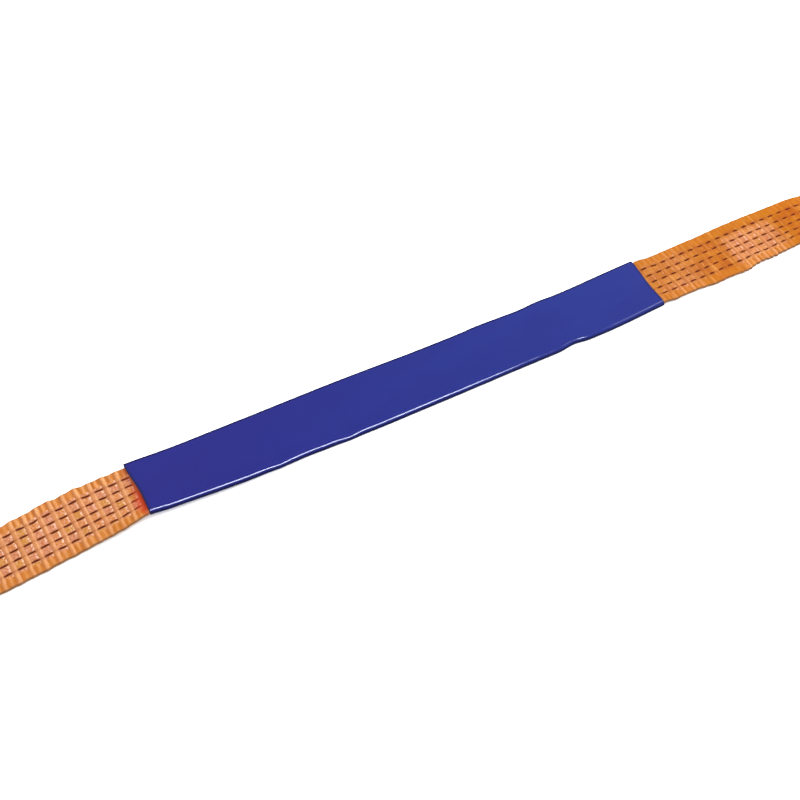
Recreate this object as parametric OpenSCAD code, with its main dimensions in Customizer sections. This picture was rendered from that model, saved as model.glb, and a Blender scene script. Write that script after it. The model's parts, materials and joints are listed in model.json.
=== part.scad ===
// Flat web sling with an eye at each end and a sliding protective sleeve.
// +X runs along the sleeve, +Z is up, the floor is Z = 0 and sizes are millimetres.
// The origin lies under the middle of the sleeve, on its lower face.

/* [Web] */
// width of the woven web
web_w = 50; // [30:1:90]
// thickness of one ply of the web
web_t = 3; // [2:0.1:5]
// gap between the lying web and the floor under the sleeve wall
web_z = 1.4; // [1.3:0.1:3]

/* [Sleeve] */
// length of the protective sleeve
sleeve_l = 450; // [200:5:700]
// outer width of the flattened sleeve
sleeve_w = 54; // [54:0.5:70]
// outer height of the flattened sleeve
sleeve_h = 6.8; // [6.6:0.1:12]
// wall thickness of the sleeve
sleeve_wall = 1.2; // [0.8:0.1:1.3]

/* [Length] */
// distance from the sleeve middle to the inner end of each splice, along the web
body_half = 430; // [400:5:900]
// length of each sewn splice
splice_l = 118; // [90:1:200]

/* [Left leg] */
// sideways turn of the left leg, in degrees
leg_turn = 5; // [0:0.1:12]
// radius of that turn, on the centre line
leg_r = 400; // [200:10:900]

/* [Eye] */
// centre line radius of the end bend of the eye
eye_r = 20; // [14:0.5:30]
// rise of the upper eye leg, in degrees
eye_rise = 12; // [6:0.5:20]
// radius of the soft bend where the upper leg leaves the splice
crotch_r = 60; // [30:5:120]

/* [Eye wear sleeve] */
// cloth thickness inside the eye
wear_in = 2; // [1:0.1:4]
// cloth thickness outside the eye
wear_out = 1.4; // [0.8:0.1:3]
// cloth thickness at each edge of the web
wear_side = 1.4; // [0.8:0.1:3]
// how far the cloth runs along each leg past the end bend
wear_leg = 34; // [10:1:60]

/* [Stitching and label] */
// height of the thread above the web
thread_h = 0.5; // [0.3:0.1:0.8]
// width of one sewn row
thread_w = 1.6; // [1:0.1:3]
// length of the sewn label
label_l = 74; // [40:1:90]
// width of the sewn label
label_w = 40; // [25:1:48]
// thickness of the sewn label
label_t = 0.8; // [0.4:0.1:1.5]

/* [Hidden] */
$fn = 96;
eps = 0.05;
lap = 0.6;
shy = 0.02;
gap = 0.1;
half_t = web_t / 2;
level = web_z + half_t;
arc_start = sleeve_l / 2 + 5;
arc_len = leg_r * leg_turn * PI / 180;
left_straight = body_half - arc_start - arc_len;
left_x = -arc_start - leg_r * sin(leg_turn) - left_straight * cos(leg_turn);
left_y = -leg_r * (1 - cos(leg_turn)) - left_straight * sin(leg_turn);
fold_w = sleeve_w - 2 * sleeve_wall;
fold_h = sleeve_h - 2 * sleeve_wall;
row_in = 7;
row_out = splice_l - 9;
rows = [-20, -10, 0, 10, 20];
rise_run = crotch_r * sin(eye_rise);
rise_up = crotch_r * (1 - cos(eye_rise));
root = web_t + gap;
slope_x = root + rise_run;
slope_z = web_t + rise_up;
bend_z = eye_r;
top_z = bend_z + eye_r * cos(eye_rise);
top_x = slope_x + (top_z - slope_z) / tan(eye_rise);
bend_x = top_x + eye_r * sin(eye_rise);
cr = cos(eye_rise);
sr = sin(eye_rise);
rise_l = (top_x - slope_x) / cos(eye_rise);

// placing: the right and left splices, measured outward from their inner end

module at_right() {
    translate([body_half, 0, level])
    children();
}

module at_left() {
    translate([left_x, left_y, level])
    rotate([0, 0, 180 + leg_turn])
    children();
}

module at_crotch() {
    translate([splice_l, 0, 0])
    children();
}

// the long single ply between the two splices

module web_run(length) {
    translate([0, -web_w / 2, -half_t])
    cube([length, web_w, web_t]);
}

// a straight slab along the rising leg: u runs along the leg, v across it

module rising(u0, u1, v0, v1, width) {
    translate([top_x, 0, top_z])
    rotate([90, 0, 0])
    translate([0, 0, -width / 2])
    linear_extrude(height = width)
    polygon([[u0 * cr - v0 * sr, u0 * sr + v0 * cr], [u1 * cr - v0 * sr, u1 * sr + v0 * cr],
        [u1 * cr - v1 * sr, u1 * sr + v1 * cr], [u0 * cr - v1 * sr, u0 * sr + v1 * cr]]);
}

// a straight slab along the lower leg, from x0 to x1

module lying(x0, x1, v0, v1, width) {
    translate([x0, -width / 2, v0])
    cube([x1 - x0, width, v1 - v0]);
}

module nose(r) {
    rotate([90, 0, 0])
    cylinder(h = web_w, r = r, center = true);
}

module body_web() {
    color([0.86, 0.50, 0.20]) {
        translate([-arc_start, 0, level])
        web_run(arc_start + body_half);
        at_right()
        nose(half_t);
        translate([-arc_start, -leg_r, web_z])
        rotate([0, 0, 90])
        rotate_extrude(angle = leg_turn, $fn = 360)
        translate([leg_r - web_w / 2, 0])
        square([web_w, web_t]);
        at_left() {
            translate([-left_straight - eps, 0, 0])
            web_run(left_straight + eps);
            nose(half_t);
        }
    }
}

// two plies sewn flat on each other

module splice() {
    color([0.86, 0.50, 0.20]) {
        translate([half_t + gap, 0, 0])
        web_run(splice_l - half_t - gap);
        translate([5, 0, web_t])
        web_run(splice_l - 5);
        translate([splice_l, 0, half_t])
        nose(web_t);
    }
}

module right_splice_web() {
    at_right()
    splice();
}

module left_splice_web() {
    at_left()
    splice();
}

// a curved band in the X-Z plane, from angle a0 to a1 about the origin

module wedge(r, a0, a1) {
    polygon([[0, 0], [r * cos(a0), r * sin(a0)],
        [r * cos(a0 + (a1 - a0) / 3), r * sin(a0 + (a1 - a0) / 3)],
        [r * cos(a0 + 2 * (a1 - a0) / 3), r * sin(a0 + 2 * (a1 - a0) / 3)],
        [r * cos(a1), r * sin(a1)]]);
}

module band(r_in, r_out, width, a0, a1) {
    rotate([90, 0, 0])
    translate([0, 0, -width / 2])
    intersection() {
        difference() {
            cylinder(h = width, r = r_out);
            translate([0, 0, -1])
            cylinder(h = width + 2, r = r_in);
        }
        linear_extrude(height = width)
        wedge(r_out * 3, a0, a1);
    }
}

// the folded loop that forms the eye

module eye() {
    color([0.86, 0.50, 0.20]) {
        lying(root, bend_x + lap, -half_t + shy, half_t - shy, web_w);
        translate([root, -web_w / 2, half_t - 0.5])
        cube([7, web_w, 1]);
        translate([root, 0, web_t + crotch_r])
        band(crotch_r - half_t, crotch_r + half_t, web_w, -90, -90 + eye_rise);
        rising(-rise_l - lap, lap, -half_t + shy, half_t - shy, web_w);
        translate([bend_x, 0, bend_z]) {
            band(eye_r - half_t, eye_r + half_t, web_w, -90, 10.2);
            band(eye_r - half_t, eye_r + half_t, web_w, 10, 90 + eye_rise);
        }
    }
}

module right_eye_web() {
    at_right()
    at_crotch()
    eye();
}

module left_eye_web() {
    at_left()
    at_crotch()
    eye();
}

// cloth tube sewn round the web where the eye bears on its hook

module lower_tube() {
    difference() {
        lying(bend_x - wear_leg, bend_x + lap, -half_t - wear_out + shy,
            half_t + wear_in - shy, web_w + 2 * wear_side);
        lying(bend_x - wear_leg - 1, bend_x + lap + 1, -half_t - shy, half_t + shy, web_w);
    }
}

module upper_tube() {
    difference() {
        rising(-wear_leg, lap, -half_t - wear_in + shy, half_t + wear_out - shy,
            web_w + 2 * wear_side);
        rising(-wear_leg - 1, lap + 1, -half_t - shy, half_t + shy, web_w);
    }
}

module bend_tube(a0, a1) {
    difference() {
        band(eye_r - half_t - wear_in, eye_r + half_t + wear_out,
            web_w + 2 * wear_side, a0, a1);
        band(eye_r - half_t, eye_r + half_t, web_w, a0 - 5, a1 + 5);
    }
}

module wear_sleeve() {
    color([0.20, 0.21, 0.23]) {
        lower_tube();
        upper_tube();
        translate([bend_x, 0, bend_z]) {
            bend_tube(-90, 10.2);
            bend_tube(10, 90 + eye_rise);
        }
    }
}

module right_wear_sleeve() {
    at_right()
    at_crotch()
    wear_sleeve();
}

module left_wear_sleeve() {
    at_left()
    at_crotch()
    wear_sleeve();
}

// sewn rows that lock the two plies, above and below

module row_along(y) {
    translate([row_in, y - thread_w / 2, 0])
    cube([row_out - row_in, thread_w, thread_h]);
}

module row_across(x) {
    translate([x - thread_w / 2, -20 - thread_w / 2, 0])
    cube([thread_w, 40 + thread_w, thread_h]);
}

module seam_face() {
    for (y = rows)
        row_along(y);
    row_across(row_in + thread_w / 2);
    row_across(row_in + 6);
    row_across(row_out - 6);
    row_across(row_out - thread_w / 2);
}

module splice_stitching() {
    color([0.93, 0.62, 0.32]) {
        translate([0, 0, half_t + web_t])
        seam_face();
        translate([0, 0, -half_t - thread_h])
        seam_face();
    }
}

module right_splice_stitching() {
    at_right()
    splice_stitching();
}

module left_splice_stitching() {
    at_left()
    splice_stitching();
}

// two sewn rows that fix the wear sleeve on the upper leg of the eye

module wear_stitching() {
    color([0.78, 0.78, 0.76])
    for (u = [-wear_leg + 3, -wear_leg + 9]) {
        rising(u - thread_w / 2, u + thread_w / 2, half_t + wear_out,
            half_t + wear_out + thread_h, web_w - 6);
        rising(u - thread_w / 2, u + thread_w / 2, -half_t - wear_in - thread_h,
            -half_t - wear_in, web_w - 6);
    }
}

module right_wear_stitching() {
    at_right()
    at_crotch()
    wear_stitching();
}

module left_wear_stitching() {
    at_left()
    at_crotch()
    wear_stitching();
}

// blank label sewn on the right splice

module identification_label() {
    color([0.10, 0.30, 0.68])
    at_right()
    translate([20, -label_w / 2, half_t + web_t + thread_h])
    cube([label_l, label_w, label_t]);
}

module label_stitching() {
    color([0.85, 0.87, 0.92])
    at_right()
    translate([20, -label_w / 2, half_t + web_t + thread_h + label_t])
    difference() {
        translate([2, 2, 0])
        cube([label_l - 4, label_w - 4, thread_h]);
        translate([2 + thread_w, 2 + thread_w, -1])
        cube([label_l - 4 - 2 * thread_w, label_w - 4 - 2 * thread_w, thread_h + 2]);
    }
}

// flattened tube that slides along the web

module flat_ring(w, h, r) {
    square([w - 2 * r, h], center = true);
    square([w, h - 2 * r], center = true);
    for (sx = [-1, 1], sy = [-1, 1])
        translate([sx * (w / 2 - r), sy * (h / 2 - r)])
        circle(r = r);
}

module protective_sleeve() {
    color([0.22, 0.24, 0.58])
    translate([-sleeve_l / 2, 0, sleeve_h / 2])
    rotate([90, 0, 90])
    linear_extrude(height = sleeve_l)
    difference() {
        flat_ring(sleeve_w, sleeve_h, 2.2);
        flat_ring(fold_w, fold_h, 1);
    }
}

body_web();
right_splice_web();
right_eye_web();
right_wear_sleeve();
right_splice_stitching();
right_wear_stitching();
left_splice_web();
left_eye_web();
left_wear_sleeve();
left_splice_stitching();
left_wear_stitching();
identification_label();
label_stitching();
protective_sleeve();
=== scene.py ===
import json
import math

import bpy
import numpy as np
from mathutils import Matrix, Vector


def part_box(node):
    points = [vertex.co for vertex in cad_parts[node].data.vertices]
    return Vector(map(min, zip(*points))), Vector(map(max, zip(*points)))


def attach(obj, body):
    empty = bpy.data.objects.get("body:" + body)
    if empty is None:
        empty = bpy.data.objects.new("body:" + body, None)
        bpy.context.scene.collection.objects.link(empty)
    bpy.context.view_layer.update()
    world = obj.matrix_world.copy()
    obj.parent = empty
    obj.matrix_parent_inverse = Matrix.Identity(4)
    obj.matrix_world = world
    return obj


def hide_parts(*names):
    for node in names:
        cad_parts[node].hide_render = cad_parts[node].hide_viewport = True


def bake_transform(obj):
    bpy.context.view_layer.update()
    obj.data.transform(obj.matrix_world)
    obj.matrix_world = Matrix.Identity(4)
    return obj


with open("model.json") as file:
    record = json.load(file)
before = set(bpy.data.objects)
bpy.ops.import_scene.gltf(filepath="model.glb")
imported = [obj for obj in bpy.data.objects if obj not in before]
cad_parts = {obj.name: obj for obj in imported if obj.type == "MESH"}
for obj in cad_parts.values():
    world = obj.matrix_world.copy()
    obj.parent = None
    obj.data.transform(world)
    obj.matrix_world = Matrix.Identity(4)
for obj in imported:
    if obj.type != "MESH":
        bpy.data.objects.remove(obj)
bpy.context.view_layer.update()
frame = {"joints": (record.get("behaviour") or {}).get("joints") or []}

# ---- driving sizes, in metres; the frame gives the places ----

MM = 0.001
HINGES = {joint["name"]: joint["pos_m"] for joint in frame["joints"] if joint["name"].endswith("_bend")}
SPLICE_LO, SPLICE_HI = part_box("right_splice_web")
LABEL_LO, LABEL_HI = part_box("identification_label")

WEB_WIDTH = SPLICE_HI.y - SPLICE_LO.y
HALF_WEB = WEB_WIDTH / 2
WEB_THICK = (SPLICE_HI.z - SPLICE_LO.z) / 2
BODY_HALF, _, WEB_LEVEL = HINGES["right_splice_bend"]
SPLICE_LENGTH = HINGES["right_eye_bend"][0] - BODY_HALF
SLEEVE_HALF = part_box("protective_sleeve")[1].x
LEG_TURN = math.radians(5)
LEG_RADIUS = 400 * MM
ARC_START = SLEEVE_HALF + 5 * MM
ARC_LENGTH = LEG_RADIUS * LEG_TURN

UPPER_PLY_START = 5 * MM
EYE_RADIUS = 20 * MM
EYE_RISE = math.radians(12)
CROTCH_RADIUS = 60 * MM
CROTCH_GAP = 3.1 * MM

DASH_PITCH = 9.92 * MM
DASH_LENGTH = 5.3 * MM
DASH_WIDTH = 1.4 * MM
ROW_PITCH = 7.35 * MM
ROWS = np.arange(-2, 3) * ROW_PITCH
LEFT_PHASE = 231.1 * MM
RIGHT_PHASE = 252.6 * MM

HIDDEN_SEAM = 70 * MM
SPLICE_SEAM = 60 * MM

STEPS_PER_PITCH = 12
KNOTS = 4096
LIGHT_LEVEL = 1.56

# Each splice's own frame (x outward, z up), and its web's dashes: where one lies and which way they count.
ENDS = {
    "right": Matrix.Translation(HINGES["right_splice_bend"]),
    "left": Matrix.Translation(HINGES["left_splice_bend"]) @ Matrix.Rotation(math.pi + LEG_TURN, 4, "Z"),
}
DASHES = {"right": (RIGHT_PHASE, -1), "left": (LEFT_PHASE, 1)}


# ---- camera, two thirds of a metre above the floor and looking down at the sleeve ----

def make_camera(place, yaw, pitch, lens):
    data = bpy.data.cameras.new("camera")
    data.sensor_width = 36
    data.lens = lens
    data.clip_end = 50
    camera = bpy.data.objects.new("camera", data)
    level = math.cos(pitch)
    look = Vector((math.sin(yaw) * level, math.cos(yaw) * level, -math.sin(pitch)))
    camera.rotation_mode = "QUATERNION"
    camera.rotation_quaternion = look.to_track_quat("-Z", "Y")
    camera.location = place
    bpy.context.scene.collection.objects.link(camera)
    bpy.context.scene.camera = camera


make_camera(place=(-0.2536, -0.4627, 0.6654), yaw=math.radians(27.66), pitch=math.radians(52.52), lens=48.24)


# ---- smooth lines ----

def ease(x, low, high):
    """0 below low, 1 above high and a smooth rise in between."""
    t = np.clip((np.asarray(x, float) - low) / (high - low), 0, 1)
    return t * t * (3 - 2 * t)


def fall(x, low, high):
    """1 below low, 0 above high and a smooth fall in between."""
    return 1 - ease(x, low, high)


def span(x, start, full, fade, end):
    """0 outside start and end, 1 from full to fade."""
    return ease(x, start, full) * fall(x, fade, end)


def hump(x, middle, width):
    """A smooth hill, 1 high."""
    return np.exp(-(((np.asarray(x, float) - middle) / width) ** 2))


def humps(x, hills):
    """Smooth hills added up, each (height, middle, width)."""
    return sum(height * hump(x, middle, width) for height, middle, width in hills)


def wander(x, seed, wavelength):
    """A smooth line of random height, about -1 to 1, the same each run."""
    rng = np.random.default_rng(seed)
    total = 0.0
    for scale in (1, 2):
        knots = rng.uniform(-1, 1, KNOTS)
        place = np.asarray(x, float) / wavelength * scale + KNOTS / 2
        index = np.floor(place).astype(int)
        part = ease(place - index, 0, 1)
        total = total + (knots[index % KNOTS] * (1 - part) + knots[(index + 1) % KNOTS] * part) / scale
    return total


def trace(segments, s, start=(0.0, 0.0), heading=0.0):
    """Places and headings at lengths s from 0 along a plane line made of (length, turn) stretches."""
    here = np.array(start)
    begun = 0.0
    places, headings = np.zeros((len(s), 2)), np.zeros(len(s))
    for length, turn in segments:
        rest = s >= begun
        run = np.append(s[rest] - begun, length)
        turned = turn / length * run
        chord = run * np.sinc(turned / math.tau)
        moved = np.column_stack([np.cos(heading + turned / 2), np.sin(heading + turned / 2)]) * chord[:, None]
        places[rest] = here + moved[:-1]
        headings[rest] = heading + turned[:-1]
        here = here + moved[-1]
        begun += length
        heading += turn
    return places, headings


def unit(rows):
    return rows / np.linalg.norm(rows, axis=-1, keepdims=True)


def outline(corners, per_corner, per_side):
    """Closed outline (y, z) round corners (y, z, radius); per_side counts the points between two arcs."""
    spots, radii = np.array(corners)[:, :2], np.array(corners)[:, 2]
    before, after = unit(np.roll(spots, 1, 0) - spots), unit(np.roll(spots, -1, 0) - spots)
    arcs = []
    for here, back, ahead, radius in zip(spots, before, after, radii):
        half = math.acos(np.clip(back @ ahead, -1, 1)) / 2
        reach = radius / math.tan(half)
        middle = here + unit(back + ahead) * (radius / math.sin(half))
        a, b = here + back * reach - middle, here + ahead * reach - middle
        first = math.atan2(a[1], a[0])
        sweep = (math.atan2(b[1], b[0]) - first + math.pi) % math.tau - math.pi
        angles = first + sweep * np.linspace(0, 1, per_corner)
        arcs.append(middle + radius * np.column_stack([np.cos(angles), np.sin(angles)]))
    points = []
    for arc, following, between in zip(arcs, arcs[1:] + arcs[:1], per_side):
        t = np.linspace(0, 1, between + 2)[1:-1, None]
        points += [arc, arc[-1] * (1 - t) + following[0] * t]
    return np.concatenate(points)


# ---- meshes ----

def make_mesh(name, points, faces, material, uv=None, floats=None):
    """A smooth mesh; uv is one pair for each point, floats is {attribute: one value for each point}."""
    data = bpy.data.meshes.new(name)
    data.from_pydata([tuple(p) for p in points], [], faces)
    data.polygons.foreach_set("use_smooth", [True] * len(data.polygons))
    if uv is not None:
        layer = data.uv_layers.new(name="strap")
        index = np.zeros(len(data.loops), np.int32)
        data.loops.foreach_get("vertex_index", index)
        layer.data.foreach_set("uv", np.asarray(uv, np.float32)[index].ravel())
    for key, values in (floats or {}).items():
        attribute = data.attributes.new(key, "FLOAT", "POINT")
        attribute.data.foreach_set("value", np.asarray(values, np.float32).ravel())
    data.materials.append(material)
    data.validate()
    piece = bpy.data.objects.new(name, data)
    bpy.context.scene.collection.objects.link(piece)
    return piece


def ring_faces(sections, around, first=0):
    """Quads between closed rings that follow each other."""
    faces = []
    for i in range(sections - 1):
        a, b = first + i * around, first + (i + 1) * around
        for j in range(around):
            k = (j + 1) % around
            faces.append((a + j, b + j, b + k, a + k))
    return faces


def grid_faces(columns, lines, first=0):
    """Quads of a grid of points, stored column by column."""
    starts = [first + i * lines + j for i in range(columns - 1) for j in range(lines - 1)]
    return [(a, a + lines, a + lines + 1, a + 1) for a in starts]


def cap_faces(sections, around, first=0):
    """The two end faces of a row of closed rings."""
    last = first + sections * around - 1
    return [tuple(first + j for j in range(around)), tuple(last - j for j in range(around))]


def closed_faces(sections, around):
    """Quads between closed rings, with the last ring joined to the first."""
    faces = ring_faces(sections, around)
    last = (sections - 1) * around
    return faces + [(last + j, j, (j + 1) % around, last + (j + 1) % around) for j in range(around)]


# ---- node materials ----

class Nodes:
    """Builds one material's node tree in few words."""

    def __init__(self, name):
        self.material = bpy.data.materials.new(name)
        self.material.use_nodes = True
        self.tree = self.material.node_tree
        self.shader = self.tree.nodes["Principled BSDF"]

    def put(self, kind, **inputs):
        node = self.tree.nodes.new(kind)
        for key, value in inputs.items():
            self.feed(node.inputs[key], value)
        return node

    def feed(self, socket, value):
        if isinstance(value, bpy.types.NodeSocket):
            self.tree.links.new(value, socket)
        else:
            socket.default_value = value

    def dye(self, share, *screen_values):
        """Covers the base colour so far, by share, with another colour."""
        self.base = self.mix(share, self.base, colour(*screen_values))

    def surface(self, roughness, **others):
        """Feeds the shader; others are further inputs, with _ for each space in their names."""
        self.feed(self.shader.inputs["Base Color"], self.base)
        self.feed(self.shader.inputs["Roughness"], roughness)
        for key, value in others.items():
            self.feed(self.shader.inputs[key.replace("_", " ")], value)

    def math(self, operation, *values):
        node = self.tree.nodes.new("ShaderNodeMath")
        node.operation = operation
        for socket, value in zip(node.inputs, values):
            self.feed(socket, value)
        return node.outputs[0]

    def times(self, first, *others):
        for other in others:
            first = self.math("MULTIPLY", first, other)
        return first

    def plus(self, a, b):
        return self.math("ADD", a, b)

    def minus(self, a, b):
        return self.math("SUBTRACT", a, b)

    def over(self, a, b):
        return self.math("DIVIDE", a, b)

    def scaled(self, value, factor, offset):
        return self.math("MULTIPLY_ADD", value, factor, offset)

    def size(self, value):
        return self.math("ABSOLUTE", value)

    def wave(self, value, length):
        return self.math("SINE", self.times(value, math.tau / length))

    def basket(self, u, v, length):
        """A plain weave from 0 to 1, with the given repeat both ways."""
        return self.scaled(self.times(self.wave(v, length), self.wave(u, length)), 0.5, 0.5)

    def ramp(self, value, low, high, out_low=0.0, out_high=1.0):
        ends = {"From Min": low, "From Max": high, "To Min": out_low, "To Max": out_high}
        node = self.put("ShaderNodeMapRange", Value=value, **ends)
        node.interpolation_type = "SMOOTHSTEP"
        return node.outputs[0]

    def band(self, value, start, full, fade, end):
        """0 outside start and end, 1 from full to fade."""
        return self.times(self.ramp(value, start, full), self.ramp(value, end, fade))

    def mix(self, share, a, b):
        node = self.tree.nodes.new("ShaderNodeMix")
        node.data_type = "RGBA"
        self.feed(node.inputs["Factor"], share)
        self.feed(node.inputs[6], a)
        self.feed(node.inputs[7], b)
        return node.outputs[2]

    def noise(self, vector, scale, detail=2.0, roughness=0.5):
        node = self.put("ShaderNodeTexNoise", Vector=vector, Scale=scale, Detail=detail, Roughness=roughness)
        return node.outputs["Fac"]

    def strap_uv(self):
        node = self.tree.nodes.new("ShaderNodeUVMap")
        node.uv_map = "strap"
        return node.outputs["UV"]

    def axes(self, vector):
        return self.put("ShaderNodeSeparateXYZ", Vector=vector).outputs[:]

    def stretch(self, vector, scale):
        return self.put("ShaderNodeMapping", Vector=vector, Scale=scale).outputs["Vector"]

    def attribute(self, name):
        node = self.tree.nodes.new("ShaderNodeAttribute")
        node.attribute_name = name
        return node.outputs["Fac"]

    def bump(self, height, strength, distance):
        node = self.put("ShaderNodeBump", Height=height, Strength=strength, Distance=distance)
        self.feed(self.shader.inputs["Normal"], node.outputs["Normal"])

    def place(self):
        return self.tree.nodes.new("ShaderNodeNewGeometry").outputs["Position"]

    def object_place(self):
        return self.tree.nodes.new("ShaderNodeTexCoord").outputs["Object"]


def colour(red, green, blue):
    """A dye given in screen values of 0 to 255, toned down for the strong light of the white studio."""
    parts = [c / 255 for c in (red, green, blue)]
    linear = [c / 12.92 if c <= 0.04045 else ((c + 0.055) / 1.055) ** 2.4 for c in parts]
    return tuple(c / LIGHT_LEVEL for c in linear) + (1.0,)


# ---- the look of the woven web; a cell is one dash pitch long and one row pitch wide ----

def woven_places():
    """Starts the web's material, with how far along and across its cell each point lies."""
    n = Nodes("woven_web")
    n.uv = n.strap_uv()
    u, v, _ = n.axes(n.uv)
    n.u = n.plus(u, n.scaled(n.noise(n.uv, 210, 1), 1.3 * MM, -0.65 * MM))
    n.v = n.plus(v, n.scaled(n.noise(n.stretch(n.uv, (1, 0.4, 1)), 130, 1), 1.1 * MM, -0.55 * MM))
    n.v_far = n.size(v)
    n.cell = n.plus(n.over(n.u, DASH_PITCH), 0.5)
    n.along = n.minus(n.math("FRACT", n.cell), 0.5)
    n.along_far = n.size(n.along)
    n.row = n.over(n.v, ROW_PITCH)
    nearest = n.math("ROUND", n.row)
    n.across_far = n.times(n.size(n.minus(n.row, nearest)), ROW_PITCH)
    n.in_rows = n.math("LESS_THAN", n.size(nearest), len(ROWS) / 2)
    n.margin = n.ramp(n.v_far, 15.5 * MM, 18.5 * MM)
    # painted sheen, 0 to 1: where it is strong the web is painted paler and pinker and its box, rib and flute
    # marks show
    n.pale = n.attribute("pale")
    n.speck = n.noise(n.uv, 620, 3, 0.7)
    n.grain = n.noise(n.stretch(n.uv, (1, 0.35, 1)), 1500, 3, 0.7)
    return n


def cell_lot(n):
    """A random number for each cell."""
    corner = n.put("ShaderNodeCombineXYZ", X=n.math("FLOOR", n.cell), Y=n.math("FLOOR", n.row))
    random = n.put("ShaderNodeTexWhiteNoise", Vector=corner.outputs[0])
    random.noise_dimensions = "2D"
    return random.outputs["Value"]


def ground_dye(n):
    """Orange with random patches, painted paler and pinker under the painted sheen, with fine streaks along
    the yarns.
    """
    patch = n.ramp(n.noise(n.stretch(n.uv, (1, 1.5, 1)), 55, 3, 0.6), 0.35, 0.68)
    tint = n.mix(patch, colour(152, 80, 4), colour(167, 100, 8))
    tint = n.mix(n.times(n.margin, 0.7), tint, colour(168, 98, 10))
    sheen_tint = n.mix(patch, colour(164, 100, 58), colour(184, 122, 80))
    sheen_tint = n.mix(n.times(n.margin, 0.75), sheen_tint, colour(186, 110, 42))
    n.base = n.mix(n.pale, tint, sheen_tint)
    streak = n.noise(n.stretch(n.uv, (1, 0.16, 1)), 330, 3, 0.6)
    n.dye(n.ramp(streak, 0.52, 0.7, 0.0, 0.5), 206, 144, 76)
    n.dye(n.ramp(streak, 0.48, 0.3, 0.0, 0.45), 140, 66, 12)


def add_boxes(n):
    """The small boxes between the rows, each of its own tone, with a glint on one flank."""
    box = n.times(n.ramp(n.along_far, 0.34, 0.27), n.ramp(n.across_far, 0.8 * MM, 1.5 * MM))
    box = n.times(box, n.ramp(n.v_far, 18.4 * MM, 17.2 * MM))
    lot = cell_lot(n)
    tone = n.mix(n.ramp(lot, 0.3, 0.5), colour(176, 108, 80), colour(184, 114, 60))
    tone = n.mix(n.ramp(lot, 0.7, 0.8), tone, colour(176, 120, 40))
    tone = n.mix(n.ramp(n.speck, 0.48, 0.62, 0.0, 0.75), tone, colour(216, 168, 136))
    tone = n.mix(n.ramp(n.speck, 0.46, 0.33, 0.0, 0.6), tone, colour(134, 76, 36))
    # the box tones are laid on as far as the painted sheen reaches; the glint is a painted highlight
    n.base = n.mix(n.times(box, n.pale, 0.85), n.base, tone)
    glint = n.times(n.band(n.along, -0.34, -0.28, -0.22, -0.12), box, n.ramp(n.speck, 0.42, 0.6))
    n.dye(n.times(glint, n.pale), 230, 194, 172)


def add_ribs(n, patchy):
    """The cross ribs between the boxes, lit on one flank and dark on the other."""
    tone = n.mix(n.ramp(n.noise(n.uv, 90, 2), 0.35, 0.6), colour(200, 138, 86), colour(194, 130, 92))
    tone = n.mix(n.ramp(n.speck, 0.35, 0.65, 0.0, 0.35), tone, colour(160, 104, 62))
    # the rib tones are laid on as far as the painted sheen reaches; the lit flank is a painted highlight and
    # the dark flank painted shade
    n.base = n.mix(n.times(n.ramp(n.along_far, 0.3, 0.36), n.pale, 0.75), n.base, tone)
    lit = n.times(n.band(n.along, 0.28, 0.35, 0.41, 0.47), n.pale, 0.7)
    lit = n.times(lit, n.ramp(n.noise(n.uv, 170, 2), 0.35, 0.6, 0.3, 1.0))
    n.dye(lit, 216, 164, 118)
    dark = n.times(n.band(n.along, -0.45, -0.4, -0.35, -0.29), patchy, n.scaled(n.pale, 0.4, 0.04))
    n.dye(dark, 122, 68, 28)


def add_flutes(n, patchy):
    """The margins outside the rows are fluted, two flutes to a dash pitch, with a painted highlight on one
    half of each flute and painted shade on the other, as far as the painted sheen reaches.
    """
    drift = n.noise(n.stretch(n.uv, (1, 0.25, 1)), 95, 2)
    flute = n.wave(n.scaled(drift, 3.2 * MM, n.u), DASH_PITCH / 2)
    share = n.times(n.margin, n.pale, patchy)
    n.dye(n.times(n.ramp(flute, 0.0, 0.9), 0.75, share), 214, 158, 104)
    n.dye(n.times(n.ramp(flute, -0.4, -1.0), 0.6, share), 136, 76, 26)


def tracer_dashes(n):
    """The black dashes, pointed at both ends, and the brown halo round them."""
    half_dash = DASH_LENGTH / DASH_PITCH / 2
    # the dashes are drawn a little longer where the painted sheen is
    reach = n.over(n.along_far, n.scaled(n.pale, 0.065, half_dash))
    taper = n.math("SQRT", n.math("MAXIMUM", n.minus(1.0, n.math("POWER", reach, 2.2)), 0.0))
    clear = n.minus(n.across_far, n.times(taper, DASH_WIDTH / 2))
    dash = n.times(n.ramp(clear, 0.16 * MM, -0.2 * MM), n.in_rows, n.ramp(reach, 1.0, 0.9))
    halo = n.times(n.ramp(clear, 0.75 * MM, 0.0), n.in_rows, n.ramp(reach, 1.25, 0.9))
    return dash, halo


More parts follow.
